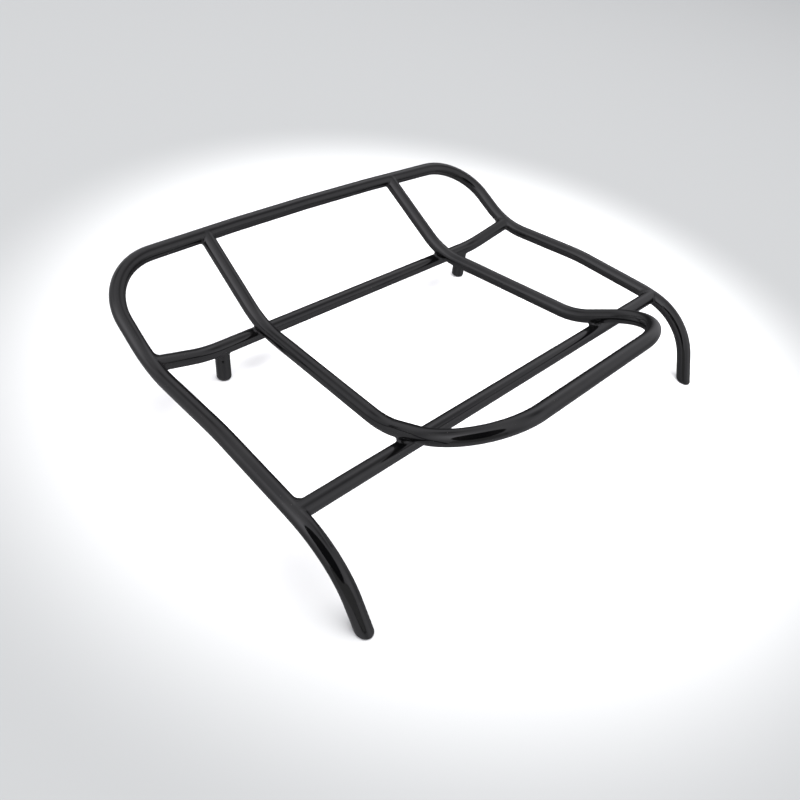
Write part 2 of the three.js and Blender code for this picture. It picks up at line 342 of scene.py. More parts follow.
def coatMaterial(name, peel=1.0, dull=0.0):
    # gloss black powder: dark body, orange peel over slow waves, hazy patches and a few dust specks
    p = powderCoat
    material, bench = newMaterial(name)
    where = bench.add("ShaderNodeTexCoord", {}, {}, 3)
    haze = bench.within(bench.noise(where, *p["hazeNoise"]), *p["hazeRange"])
    rubbed = bench.within(bench.noise(where, *p["rubNoise"]), *p["rubRange"])
    grit = bench.noise(where, 1 / p["dustSize"], 1, 0.4)
    specks = bench.within(grit, p["dustShare"], p["dustShare"] + p["dustFade"])
    thin = bench.within(bench.noise(where, *p["thinNoise"]), *p["thinRange"])
    body = bench.blend(thin, p["black"], p["thin"])
    colour = bench.blend(specks * p["dustCover"], body, p["dust"])
    roughness = p["roughness"] + dull + haze * p["haze"] + rubbed * p["rubRoughness"]
    roughness = roughness + specks * p["dustRoughness"]
    flow = bench.noise(where, 1 / p["flowSize"], 1, 0.3)
    orangePeel = bench.noise(where, 1 / p["peelSize"], 2, 0.45)
    strength = p["bumpStrength"]
    waves = {"Height": flow, "Distance": p["flowDepth"] * peel / strength, "Strength": strength}
    slow = bench.add("ShaderNodeBump", {}, waves)
    ripples = {"Height": orangePeel, "Distance": p["peelDepth"] * peel / strength, "Strength": strength}
    ripples["Normal"] = slow
    fine = bench.add("ShaderNodeBump", {}, ripples)
    finish = {"Base Color": colour, "Roughness": roughness, "Normal": fine, "IOR": p["ior"]}
    shader = bench.add("ShaderNodeBsdfPrincipled", {}, finish)
    bench.add("ShaderNodeOutputMaterial", {}, {"Surface": shader})
    return material


steelFinish = {
    "zinc": (0.52, 0.53, 0.52, 1),
    "warm": (0.60, 0.55, 0.40, 1),                # the faint yellow of the plating
    "oil": (0.16, 0.15, 0.13, 1),
    "roughness": 0.30,
    "driftNoise": (300, 3, 0.5),                  # waves to a metre, detail, roughness of the noise
    "driftRange": (0.35, 0.75),
    "driftRoughness": 0.10,
    "stainNoise": (700, 4, 0.6),
    "stainRange": (0.55, 0.80),
    "stainCover": 0.5,
    "stainRoughness": 0.15,
    "grainNoise": (4200, 2, 0.6),
    "grainDepth": 0.00002,
    "grainStrength": 0.15,
}


def zincMaterial(name):
    # bright plating: grey with yellow drifts, darker in patches, and a fine grain
    s = steelFinish
    material, bench = newMaterial(name)
    where = bench.add("ShaderNodeTexCoord", {}, {}, 3)
    drift = bench.within(bench.noise(where, *s["driftNoise"]), *s["driftRange"])
    stain = bench.within(bench.noise(where, *s["stainNoise"]), *s["stainRange"])
    plated = bench.blend(drift, s["zinc"], s["warm"])
    colour = bench.blend(stain * s["stainCover"], plated, s["oil"])
    roughness = s["roughness"] + drift * s["driftRoughness"] + stain * s["stainRoughness"]
    grain = bench.noise(where, *s["grainNoise"])
    ridges = {"Height": grain, "Distance": s["grainDepth"], "Strength": s["grainStrength"]}
    fine = bench.add("ShaderNodeBump", {}, ridges)
    finish = {"Base Color": colour, "Roughness": roughness, "Normal": fine, "Metallic": 1.0}
    shader = bench.add("ShaderNodeBsdfPrincipled", {}, finish)
    bench.add("ShaderNodeOutputMaterial", {}, {"Surface": shader})
    return material


tubeCoat = coatMaterial("glossBlackPowderCoat")
weldCoat = coatMaterial("glossBlackOverWeld", 1.8, 0.16)
zincPlate = zincMaterial("zincPlatedPlug")
print("materials ready")


def gridPiece(name, node, rows, material, bareMaterial=None, bare=None, poles=(), closeRows=False):
    # rows is a grid of places, round in its second direction; the first direction closes on itself
    # (closeRows) or ends in a fan on a pole at each end. A negative volume turns the faces over
    rowCount, roundCount = rows.shape[:2]
    points = rows.reshape(-1, 3)
    index = np.arange(rowCount * roundCount).reshape(rowCount, roundCount)
    upper = np.concatenate([index[1:], index[:1]]) if closeRows else index[1:]
    lower = index if closeRows else index[:-1]
    quads = np.stack([lower, np.roll(lower, -1, 1), np.roll(upper, -1, 1), upper], -1).reshape(-1, 4)
    fans = []
    if len(poles):
        points = np.concatenate([points, np.asarray(poles, float)])
        first, last = index[0], index[-1]
        firstPole, lastPole = len(points) - 2, len(points) - 1
        fans.append(np.stack([np.roll(first, -1), first, np.full(roundCount, firstPole)], -1))
        fans.append(np.stack([last, np.roll(last, -1), np.full(roundCount, lastPole)], -1))
    triangles = np.concatenate([quads[:, [0, 1, 2]], quads[:, [0, 2, 3]], *fans])
    middle = points.mean(0)
    a, b, c = (points[triangles[:, k]] - middle for k in range(3))
    volume = np.sum(a * np.cross(b, c)) / 6
    faces = [quads] + fans
    if volume < 0:
        faces = [face[:, ::-1] for face in faces]
    mesh = bpy.data.meshes.new(name)
    mesh.from_pydata(points.tolist(), [], [face for group in faces for face in group.tolist()])
    mesh.polygons.foreach_set("use_smooth", np.ones(len(mesh.polygons), bool))
    mesh.materials.append(material)
    if bareMaterial is not None:
        mesh.materials.append(bareMaterial)
        quadRows = np.repeat(np.arange(len(lower)), roundCount)
        slots = np.isin(quadRows, bare).astype(np.int32)
        tail = [np.full(len(fans[0]), 1, np.int32), np.zeros(len(fans[1]), np.int32)] if fans else []
        mesh.polygons.foreach_set("material_index", np.concatenate([slots, *tail]))
    mesh.update()
    piece = bpy.data.objects.new(name, mesh)
    bpy.context.scene.collection.objects.link(piece)
    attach(piece, "root")
    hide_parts(node)
    return piece


def slideToHost(starts, way, host, clearance):
    # each place moves along the way until it is one tube radius and the clearance from the host's
    # centreline; the distance grows with the slide, so halving the gap finds it
    near, far = np.zeros(len(starts)), np.full(len(starts), 3 * tubeRadius)
    for _ in range(36):
        middle = (near + far) / 2
        _, reach, _ = nearestOn(host, starts + middle[:, None] * way)
        inside = reach < tubeRadius + clearance
        near, far = np.where(inside, middle, near), np.where(inside, far, middle)
    return starts + far[:, None] * way


def slideToLevel(starts, way, height):
    # each place moves along the way until it is at the height
    return starts + ((height - starts[:, 2]) / way[2])[:, None] * way


tubeSkin = {
    "sides": 80,
    "wall": 0.0016,
    "copeGap": 0.00003,        # between a tube's shaped end and the tube that it is welded to
    "rimBack": 0.0002,         # a ring just behind a shaped end keeps the shading crisp
    "tipRound": 0.0014,        # rounding of a leg tip's outer edge
    "tipInner": 0.00035,
    "tipSteps": 7,
    "endRun": 0.0012,          # plain tube between a shaped end and its first full ring
}


def tubePiece(name, node, line, host=None):
    # place(s, a) = line(s) + r·(cos a · across + sin a · up); the outside runs from end to end, turns
    # in over the rim and comes back as the bore, so the skin closes on itself both ways
    t = tubeSkin
    points, ways = line["points"], line["ways"]
    bore = tubeRadius - t["wall"]
    angles = np.arange(t["sides"]) * 2 * math.pi / t["sides"]
    across = [unit(np.cross(ways[0], [0.1, 0.2, 1.0]))]
    for way in ways[1:]:                           # the frame is carried along without twisting
        across.append(unit(across[-1] - (across[-1] @ way) * way))
    across = np.array(across)
    up = np.cross(ways, across)
    spokes = np.cos(angles)[None, :, None] * across[:, None] + np.sin(angles)[None, :, None] * up[:, None]
    along = np.concatenate([[0], np.cumsum(np.linalg.norm(np.diff(points, axis=0), axis=1))])

    def endRings(end):
        # rings from the first full outer ring over the rim into the bore, and how far back they reach
        base, spoke = points[end], spokes[end]
        way = ways[0] if end == 0 else -ways[-1]
        if host is not None:
            outside = slideToHost(base + tubeRadius * spoke, way, host, t["copeGap"])
            inside = slideToHost(base + bore * spoke, way, host, t["copeGap"])
            back = t["rimBack"] * way
            rings = [outside + back, outside, inside, inside + back]
        else:
            turns = np.linspace(0, math.pi / 2, t["tipSteps"])
            radii = tubeRadius - t["tipRound"] * (1 - np.cos(turns))
            heights = cadLow.z + t["tipRound"] * (1 - np.sin(turns))
            rings = [slideToLevel(base + r * spoke, way, h) for r, h in zip(radii, heights)]
            radii = bore + t["tipInner"] * (1 - np.sin(turns))
            heights = cadLow.z + t["tipInner"] * (1 - np.cos(turns))
            rings += [slideToLevel(base + r * spoke, way, h) for r, h in zip(radii, heights)]
        deepest = max(float(np.max((ring - base) @ way)) for ring in rings)
        return rings, deepest + t["endRun"]

    firstRings, startRun = endRings(0)
    lastRings, endRun = endRings(-1)
    kept = (along > startRun) & (along < along[-1] - endRun)
    outside = points[kept][:, None] + tubeRadius * spokes[kept]
    inside = points[kept][:, None] + bore * spokes[kept]

    # a full ring just behind each shaped end
    firstPlace, lastPlace = points[0] + startRun * ways[0], points[-1] - endRun * ways[-1]
    firstOut, firstIn = (firstPlace + tubeRadius * spokes[0])[None], (firstPlace + bore * spokes[0])[None]
    lastOut, lastIn = (lastPlace + tubeRadius * spokes[-1])[None], (lastPlace + bore * spokes[-1])[None]
    rows = np.concatenate([
        np.array(firstRings[::-1]), firstOut, outside, lastOut,
        np.array(lastRings), lastIn, inside[::-1], firstIn,
    ])
    piece = gridPiece(name, node, rows, tubeCoat, closeRows=True)
    return piece


tubePiece("outerFrame", "outer_frame", outer)
tubePiece("innerLoop", "inner_loop", loop, outer)
tubePiece("rearCrossTube", "rear_cross_tube", rearCross, outer)
tubePiece("frontCrossTube", "front_cross_tube", frontCross, outer)
print("tubes ready")


screwThread = {
    "pitch": 0.001,            # M6
    "root": 0.0025,            # radius of the tapping drill
    "depth": 0.0005,
    "stepsPerTurn": 8,
    "mouth": 0.0033,           # radius of the countersink
    "postMouthDepth": 0.0006,
    "plugMouthDepth": 0.0005,
    "threadStart": 0.0008,     # depth of a post's first thread row
    "lip": 0.0002,             # step outside the thread's root and outside the mouth
}


def threadRadius(heights, angles):
    # root radius plus a clipped triangle wave of height/pitch - angle/turn: a right-hand thread
    s = screwThread
    phase = heights / s["pitch"] - angles / (2 * math.pi)
    wave = 1 - 2 * np.abs(phase - np.floor(phase) - 0.5)
    return s["root"] + s["depth"] * np.clip(1.35 * wave - 0.15, 0, 1)


postBar = {
    "halfSpacing": 0.1515,
    "lean": 0.003,             # how far the foot lies behind the top, towards the legs
    "sides": 160,
    "holeDepth": 0.014,
    "tipAngle": 59,            # half angle of the drill's point, degrees
    "footRound": 0.0020,
    "wallRows": 90,
    "topGap": 0.00003,
    "pitRadius": 0.00130,      # small drain pit on the side that faces the legs
    "pitDepth": 0.0026,
    "pitHeight": 0.0205,
    "pitTurn": 240,            # degrees round from +X
}


def postPiece(name, node, side):
    # place(v, a) = foot + h(v)·slope + r(v)·(cos a, sin a): drill point, thread, mouth, foot face,
    # rounded edge, wall, and a saddle under the cross tube, with a pole at both ends; near the pit the
    # wall goes in by depth·(1 - smoothStep(distance / pit radius))
    p = postBar
    top, _ = stationWhere(rearCross, 0, side * p["halfSpacing"], side)
    foot = np.array([top[0], top[1] - p["lean"], cadLow.z])
    slope = (top - foot) / (top[2] - foot[2])
    angles = np.arange(p["sides"]) * 2 * math.pi / p["sides"]
    spokes = np.stack([np.cos(angles), np.sin(angles), 0 * angles], -1)

    def ring(radius, height):
        # the section stays level while its middle leans
        return foot + height * slope + np.asarray(radius)[..., None] * spokes

    s = screwThread
    turns = int(p["holeDepth"] / s["pitch"] * s["stepsPerTurn"])
    depths = np.linspace(p["holeDepth"], s["threadStart"], turns)
    thread = [ring(threadRadius(depth, angles), depth) for depth in depths]
    mouth = [ring(s["root"] + s["lip"], s["postMouthDepth"])]
    mouth += [ring(s["mouth"], 0.0), ring(s["mouth"] + s["lip"], 0.0)]
    rounding = np.linspace(math.pi / 2, 0, 10)
    edge = [ring(tubeRadius - p["footRound"] * (1 - math.cos(t)), p["footRound"] * (1 - math.sin(t)))
            for t in rounding]
    down = unit(foot - top)
    seat = slideToHost(top + tubeRadius * spokes, down, rearCross, p["topGap"])
    shares = np.linspace(0, 1, p["wallRows"])[1:, None, None]
    wall = edge[-1][None] + shares * (seat - edge[-1])[None]
    pit = foot + p["pitHeight"] * slope
    pitWay = np.array([math.cos(math.radians(p["pitTurn"])), math.sin(math.radians(p["pitTurn"])), 0])
    away = np.linalg.norm(wall - (pit + tubeRadius * pitWay), axis=-1)
    wall = wall - (p["pitDepth"] * (1 - smoothStep(away / p["pitRadius"])))[..., None] * spokes
    saddle = [slideToHost(top + r * spokes, down, rearCross, p["topGap"])
              for r in tubeRadius * np.array([0.8, 0.5, 0.2])]
    drillTip = foot + (p["holeDepth"] + s["root"] / math.tan(math.radians(p["tipAngle"]))) * slope
    crown = slideToHost(top[None], down, rearCross, p["topGap"])[0]
    rows = np.concatenate([np.array(thread + mouth + edge), wall, np.array(saddle)])
    bare = np.arange(len(thread) + 1)
    piece = gridPiece(name, node, rows, tubeCoat, zincPlate, bare, poles=[drillTip, crown])
    return top, down


legPlug = {
    "sides": 96,
    "clearance": 0.00006,      # all round, inside the leg's bore
    "length": 0.014,
    "holeDepth": 0.010,
    "recess": 0.0006,
    "edge": 0.0003,
    "lip": 0.0001,
    "tipAngle": 59,
}


def plugPiece(name, node, side):
    # a short bar on the leg's own line: place(t, a) = foot + t·up the leg + r(t)·spoke(a), its lower
    # face cut level, just inside the tube
    p, s = legPlug, screwThread
    end = 0 if side < 0 else -1
    foot = outer["points"][end]
    way = outer["ways"][0] if side < 0 else -outer["ways"][-1]
    angles = np.arange(p["sides"]) * 2 * math.pi / p["sides"]
    across = unit(np.cross(way, [1.0, 0.0, 0.0]))
    spokes = np.cos(angles)[:, None] * across + np.sin(angles)[:, None] * np.cross(way, across)
    face = cadLow.z + p["recess"]

    def ringAt(radius, length):
        return foot + np.asarray(length)[..., None] * way + np.asarray(radius)[..., None] * spokes

    def levelRing(radius, height):
        return slideToLevel(foot + radius * spokes, way, height)

    mouth = levelRing(s["root"], face + s["plugMouthDepth"])
    mouthLengths = (mouth - foot) @ way
    rowCount = int(p["holeDepth"] / s["pitch"] * s["stepsPerTurn"])
    shares = np.linspace(0, 1, rowCount)[:, None]
    lengths = p["holeDepth"] + shares * (mouthLengths - p["holeDepth"])
    radii = threadRadius(lengths, angles)
    thread = foot + lengths[..., None] * way + radii[..., None] * spokes
    body = tubeRadius - tubeSkin["wall"] - p["clearance"]
    lip = [levelRing(s["mouth"], face), levelRing(s["mouth"] + p["lip"], face)]
    lip += [levelRing(body - p["edge"], face), levelRing(body, face + p["edge"])]
    upper = [ringAt(body, p["length"] - p["edge"]), ringAt(body - p["edge"], p["length"])]
    drillTip = foot + (p["holeDepth"] + s["root"] / math.tan(math.radians(p["tipAngle"]))) * way
    crown = foot + p["length"] * way
    rows = np.concatenate([thread, np.array(lip + upper)])
    piece = gridPiece(name, node, rows, zincPlate, poles=[drillTip, crown])


weldBead = {
    "sides": 144,
    "arcSteps": 12,
    "toe": 0.0011,             # how far the bead runs out over each tube past the fillet
    "crown": 0.00022,          # how proud the bead stands of a plain fillet
    "fullWidth": 0.007,        # narrower beads stand less proud
    "sink": 0.00004,           # its edges start this far under the tubes' skin
    "root": 0.0007,            # depth of the weld inside the tubes
    "core": 0.0006,            # radius left open in the middle of a crossing's weld
    "toeShares": (1.0, 0.92, 0.66, 0.33),         # rows over the toe, from its edge inwards
    "ripple": 0.35,            # share of the crown that the ripples take
    "rippleLength": 0.0021,
    "rippleBow": 1.4,          # how far a ripple's middle runs ahead, in radians
    "leastCrown": 0.15,        # share of the crown that the narrowest bead keeps
}


def beadRows(centres, balls, lineA, lineB, awayA, awayB, seed):
    # for each step round the joint a ball rests on both tubes: the bead's skin is the ball's arc from
    # one contact to the other, carried on a little over both tubes, with a low crown of
    # height·width·sin²(share·pi) and ripples along it; the weld's root comes back inside the tubes
    w = weldBead
    footA, _, _ = nearestOn(lineA, centres)
    footB, _, _ = nearestOn(lineB, centres)
    normalA, normalB = unit(centres - footA), unit(centres - footB)
    contactA, contactB = footA + tubeRadius * normalA, footB + tubeRadius * normalB
    # toes: a short way over each tube, put back on its skin
    alongA = unit(awayA - dots(awayA, normalA) * normalA)
    alongB = unit(awayB - dots(awayB, normalB) * normalB)
    rows, lifts = [], []

    def onSkin(line, places):
        foot, _, _ = nearestOn(line, places)
        outwards = unit(places - foot)
        return foot + tubeRadius * outwards, outwards

    for share in w["toeShares"]:
        place, outwards = onSkin(lineA, contactA + share * w["toe"] * alongA)
        rows.append(place)
        lifts.append(outwards)
    angle = np.arccos(np.clip(dots(normalA, normalB), -1, 1))
    size = np.maximum(np.sin(angle), 1e-6)
    flat = angle < 1e-4
    for share in np.linspace(0, 1, w["arcSteps"]):
        turned = (np.sin((1 - share) * angle) * normalA + np.sin(share * angle) * normalB) / size
        turned = np.where(flat, normalA, turned)
        rows.append(centres - balls[:, None] * unit(turned))
        lifts.append(unit(turned))
    for share in w["toeShares"][::-1]:
        place, outwards = onSkin(lineB, contactB + share * w["toe"] * alongB)
        rows.append(place)
        lifts.append(outwards)
    rows, lifts = np.array(rows), np.array(lifts)
    steps = np.linalg.norm(np.diff(rows, axis=0), axis=-1)
    shares = np.concatenate([np.zeros((1, len(centres))), np.cumsum(steps, 0)]) / steps.sum(0)
    lap = np.linalg.norm(np.roll(rows[len(rows) // 2], -1, 0) - rows[len(rows) // 2], axis=-1)
    travel = np.concatenate([[0], np.cumsum(lap)])[:-1]
    waves = max(3, round(float(lap.sum()) / w["rippleLength"]))
    turnOf = travel / lap.sum() * 2 * math.pi
    # each ripple bows forward in its middle, as a bead's ripples do
    bow = w["rippleBow"] * np.cos((shares - 0.5) * math.pi)
    ripple = np.sin(waves * turnOf[None] + bow + seed)
    narrow = np.clip(steps.sum(0) / w["fullWidth"], w["leastCrown"], 1)
    crown = w["crown"] * narrow * np.sin(shares * math.pi) ** 2 * (1 + w["ripple"] * ripple)
    # and the bead swells and thins slowly, two and five times to a lap
    lump = 1 + 0.35 * np.sin(2 * turnOf + 1.7 * seed) + 0.2 * np.sin(5 * turnOf + 3.1 * seed)
    lift = crown * lump[None] - w["sink"] * (1 - np.sin(shares * math.pi) ** 0.5)
    rows = rows + lift[..., None] * lifts
    deepA = contactA + w["toe"] * alongA - w["root"] * normalA
    deepB = contactB + w["toe"] * alongB - w["root"] * normalB
    return rows, deepA, deepB


def tubeJointWeld(name, node, hostLine, branchLine, joint, away, hostWay, sizes, seed):
    # round the branch, at angle a from the host's own direction, a ball of radius f(a) touches the
    # branch at n(a) and stands h along it: |(joint + (R + f)·n + h·away) across the host| = R + f
    w = weldBead
    angles = np.arange(w["sides"]) * 2 * math.pi / w["sides"]
    forward = unit(hostWay - (hostWay @ away) * away)
    sideways = np.cross(away, forward)
    spokes = np.cos(angles)[:, None] * forward + np.sin(angles)[:, None] * sideways
    leading, trailing, saddle = sizes
    lean = np.cos(angles)
    balls = np.where(lean > 0, saddle + (leading - saddle) * smoothStep(lean),
                     saddle + (trailing - saddle) * smoothStep(-lean))
    reach = tubeRadius + balls
    centres = joint + reach[:, None] * spokes + (tubeRadius + balls)[:, None] * away
    for _ in range(5):                             # the host bends, so its tangent is taken afresh
        foot, _, way = nearestOn(hostLine, centres)
        start = joint + reach[:, None] * spokes - foot
        start = start - dots(start, way) * way
        run = away - dots(np.broadcast_to(away, way.shape), way) * way
        a, b = dots(run, run)[:, 0], dots(start, run)[:, 0]
        c = dots(start, start)[:, 0] - reach ** 2
        h = (-b + np.sqrt(np.maximum(b * b - a * c, 0))) / a
        centres = joint + reach[:, None] * spokes + h[:, None] * away
    outwards = spokes - away
    rows, deepBranch, deepHost = beadRows(
        centres, balls, branchLine, hostLine, np.broadcast_to(away, spokes.shape), outwards, seed)
    corner = joint + (tubeRadius - w["root"]) * spokes
    corner = corner + dots(centres - joint, away) * away * 0.3
    rows = np.concatenate([rows, deepHost[None], corner[None], deepBranch[None]])
    piece = gridPiece(name, node, rows, weldCoat, closeRows=True)


def crossingWeld(name, node, upperLine, lowerLine, contactX, size, seed):
    # the two tubes lie across each other: a ball of radius f rolls round their contact, its centre
    # R + f from both lines, found by Newton steps along the outward and the upward direction
    w = weldBead
    place = np.array([stationWhere(lowerLine, 0, contactX, np.sign(contactX))[0]])
    for _ in range(12):
        onUpper, _, _ = nearestOn(upperLine, place)
        onLower, _, lowerWay = nearestOn(lowerLine, onUpper)
        place = onLower
    middle = (onUpper[0] + onLower[0]) / 2
    upward = unit(onUpper[0] - onLower[0])
    first = unit(lowerWay[0] - (lowerWay[0] @ upward) * upward)
    second = np.cross(upward, first)
    angles = np.arange(w["sides"]) * 2 * math.pi / w["sides"]
    spokes = np.cos(angles)[:, None] * first + np.sin(angles)[:, None] * second
    balls = np.full(len(angles), size)
    reach = tubeRadius + size
    out, rise = np.full(len(angles), 0.9 * tubeRadius), np.zeros(len(angles))
    for _ in range(20):
        centres = middle + out[:, None] * spokes + rise[:, None] * upward
        footU, farU, _ = nearestOn(upperLine, centres)
        footL, farL, _ = nearestOn(lowerLine, centres)
        normalU, normalL = unit(centres - footU), unit(centres - footL)
        uOut, uUp = dots(normalU, spokes)[:, 0], normalU @ upward
        lOut, lUp = dots(normalL, spokes)[:, 0], normalL @ upward
        missU, missL = farU - reach, farL - reach
        turn = uOut * lUp - uUp * lOut
        out = out - np.clip((missU * lUp - missL * uUp) / turn, -0.002, 0.002)
        rise = rise - np.clip((uOut * missL - lOut * missU) / turn, -0.002, 0.002)
    rows, deepUpper, deepLower = beadRows(centres, balls, upperLine, lowerLine, spokes, spokes, seed)
    upperCore = middle + w["core"] * spokes + w["root"] * upward
    lowerCore = middle + w["core"] * spokes - w["root"] * upward
    rows = np.concatenate([rows, deepLower[None], lowerCore[None], upperCore[None], deepUpper[None]])
    piece = gridPiece(name, node, rows, weldCoat, closeRows=True)


weldSizes = {                  # ball radius towards +Y or the outside, on the other side, and on top
    "rearCross": (0.0055, 0.0018, 0.0030),
    "frontCross": (0.0055, 0.0013, 0.0030),
    "loopEnd": (0.0018, 0.0018, 0.0018),
    "post": (0.0013, 0.0013, 0.0013),
    "loopCrossing": 0.0019,
}

for side, name in ((-1, "left"), (1, "right")):
    seed = 1.0 + side * 0.6
    postTop, postDown = postPiece(name + "Post", name + "_post", side)
    plugPiece(name + "LegInsert", name + "_leg_insert", side)
    _, postHostWay = stationWhere(rearCross, 0, side * postBar["halfSpacing"], side)
    postLine = {"points": np.array([postTop, postTop + 0.03 * postDown]), "ways": np.array([postDown] * 2)}
    tubeJointWeld(name + "PostWeld", name + "_post_weld", rearCross, postLine,
                  postTop, postDown, postHostWay, weldSizes["post"], seed)

    joint, hostWay = stationWhere(outer, 0, side * loopTube["endHalfWidth"], side)
    away = loop["ways"][0] if side < 0 else -loop["ways"][-1]
    tubeJointWeld(name + "LoopEndWeld", name + "_loop_end_weld", outer, loop,
                  joint, away, hostWay * side, weldSizes["loopEnd"], seed + 1)

    joint, hostWay = stationWhere(outer, 1, crossTubes["rearEndY"] + yShift, side)
    hostWay = hostWay * np.sign(hostWay[1])
    away = rearCross["ways"][0] if side < 0 else -rearCross["ways"][-1]
    tubeJointWeld(name + "RearCrossWeld", name + "_rear_cross_weld", outer, rearCross,
                  joint, away, hostWay, weldSizes["rearCross"], seed + 2)

    joint, hostWay = stationWhere(outer, 1, crossMiddle.y, side)
    hostWay = hostWay * np.sign(hostWay[1])
    tubeJointWeld(name + "FrontCrossWeld", name + "_front_cross_weld", outer, frontCross,
                  joint, np.array([-side, 0.0, 0.0]), hostWay, weldSizes["frontCross"], seed + 3)

    crossingWeld(name + "LoopOverRearWeld", name + "_loop_over_rear_weld", loop, rearCross,
                 side * loopTube["dip"][0], weldSizes["loopCrossing"], seed + 4)
    crossingWeld(name + "LoopOverFrontWeld", name + "_loop_over_front_weld", loop, frontCross,
                 side * loopTube["rise"][0], weldSizes["loopCrossing"], seed + 5)
print("posts, plugs and welds ready")


cameraView = {
    "target": (-0.0001, 0.0126, -0.0567),
    "azimuth": -51.69,         # degrees, counted from looking along +Y
    "elevation": 42.91,
    "roll": 11.80,
    "distance": 0.7079,
    "lens": 31.93,
    "sensor": 36.0,
    "shift": (0.0063, 0.0011),
}


def addCamera():
    v = cameraView
    azimuth, elevation, roll = (math.radians(v[k]) for k in ("azimuth", "elevation", "roll"))
    back = Vector((math.sin(azimuth) * math.cos(elevation),
                   -math.cos(azimuth) * math.cos(elevation), math.sin(elevation)))
    right = Vector((math.cos(azimuth), math.sin(azimuth), 0))
    up = back.cross(right)
    rolledRight = math.cos(roll) * right + math.sin(roll) * up
    rolledUp = math.cos(roll) * up - math.sin(roll) * right
    lens = bpy.data.cameras.new("viewCamera")
    lens.lens, lens.sensor_width = v["lens"], v["sensor"]
    lens.shift_x, lens.shift_y = v["shift"]
    camera = bpy.data.objects.new("viewCamera", lens)
    spot = Vector(v["target"]) + back * v["distance"]
    camera.matrix_world = Matrix((
        (rolledRight.x, rolledUp.x, back.x, spot.x),
        (rolledRight.y, rolledUp.y, back.y, spot.y),
        (rolledRight.z, rolledUp.z, back.z, spot.z),
        (0, 0, 0, 1),
    ))
    bpy.context.scene.collection.objects.link(camera)
    bpy.context.scene.camera = camera


floorWithPaintedLightPool = {
    "size": 30.0,
    "drop": 0.0004,
    # painted light: the colour is white in a pool in the middle and painted darker towards the edge, as
    # painted shade
    "centre": (0.95, 0.95, 0.95, 1),
    "edge": (0.28, 0.285, 0.285, 1),
    "middle": (0.065, 0.020, 0),                  # of the painted pool of light
    "clear": 0.12,                                # its radius, where the painted shade starts
    "fade": 0.48,
    "mottleNoise": (9, 3, 0.5),
    "roughness": 0.7,
    "mottle": 0.1,
}


def addFloor():
    # a pale sheet under the rack with a painted pool of light: white in the middle, with painted shade
    # greying it outwards; see-through from below
    f = floorWithPaintedLightPool
    half = f["size"] / 2
    height = cadLow.z - f["drop"]
    corners = [(-half, -half, height), (half, -half, height), (half, half, height), (-half, half, height)]
    mesh = bpy.data.meshes.new("floorWithPaintedLightPool")
    mesh.from_pydata(corners, [], [(0, 1, 2, 3)])
    floor = bpy.data.objects.new("floorWithPaintedLightPool", mesh)
    bpy.context.scene.collection.objects.link(floor)
    material, bench = newMaterial("paleFloorPaintedLightPool")
    where = bench.add("ShaderNodeTexCoord", {}, {}, 3)
    fromMiddle = bench.add("ShaderNodeVectorMath", {"operation": "SUBTRACT"}, {0: where, 1: f["middle"]})
    out = bench.add("ShaderNodeVectorMath", {"operation": "LENGTH"}, {0: fromMiddle}, 1)
    share = bench.add("ShaderNodeMapRange", {"interpolation_type": "SMOOTHSTEP"},
                      {"Value": out, "From Min": f["clear"], "From Max": f["fade"]})
    mottle = bench.noise(where, *f["mottleNoise"])
    # painted pool of light and painted shade, put into the floor's colour
    colour = bench.blend(share, f["centre"], f["edge"])
    roughness = f["roughness"] + mottle * f["mottle"]
    sockets = {"Base Color": colour, "Roughness": roughness, "Specular IOR Level": 0.0}
    paper = bench.add("ShaderNodeBsdfPrincipled", {}, sockets)
    clear = bench.add("ShaderNodeBsdfTransparent", {}, {})
    below = bench.add("ShaderNodeNewGeometry", {}, {}, 6)
    surface = bench.add("ShaderNodeMixShader", {}, {0: below, 1: paper, 2: clear})
    bench.add("ShaderNodeOutputMaterial", {}, {"Surface": surface})
    mesh.materials.append(material)
    floor.visible_glossy = False                   # the tubes mirror the studio, not the sheet


backdropDome = {
    "radius": 2.6,
    "rings": 24,
    "sides": 96,
    "grey": 0.70,
    "drop": 0.01,              # its rim lies this far under the rack
}


def addBackdrop():
    # place(e, a) = radius·(cos e·cos a, cos e·sin a, sin e): a plain pale dome behind everything, which
    # lets the studio's light through and isn't mirrored
    b = backdropDome
    tilts = np.linspace(0, math.pi / 2, b["rings"])[:, None]
    angles = np.arange(b["sides"])[None] * 2 * math.pi / b["sides"]
    places = np.stack(np.broadcast_arrays(np.cos(tilts) * np.cos(angles),
                                          np.cos(tilts) * np.sin(angles), np.sin(tilts)), -1)
    points = (b["radius"] * places + np.array([0, 0, cadLow.z - b["drop"]])).reshape(-1, 3)
    index = np.arange(b["rings"] * b["sides"]).reshape(b["rings"], b["sides"])
    lower, upper = index[:-1], index[1:]
    quads = np.stack([lower, upper, np.roll(upper, -1, 1), np.roll(lower, -1, 1)], -1).reshape(-1, 4)
    mesh = bpy.data.meshes.new("backdrop")
    mesh.from_pydata(points.tolist(), [], quads.tolist())
    dome = bpy.data.objects.new("backdrop", mesh)
    bpy.context.scene.collection.objects.link(dome)
    material, bench = newMaterial("paleBackdrop")
    glow = bench.add("ShaderNodeEmission", {}, {"Strength": b["grey"]})
    bench.add("ShaderNodeOutputMaterial", {}, {"Surface": glow})
    mesh.materials.append(material)
    dome.visible_glossy = dome.visible_diffuse = dome.visible_shadow = False


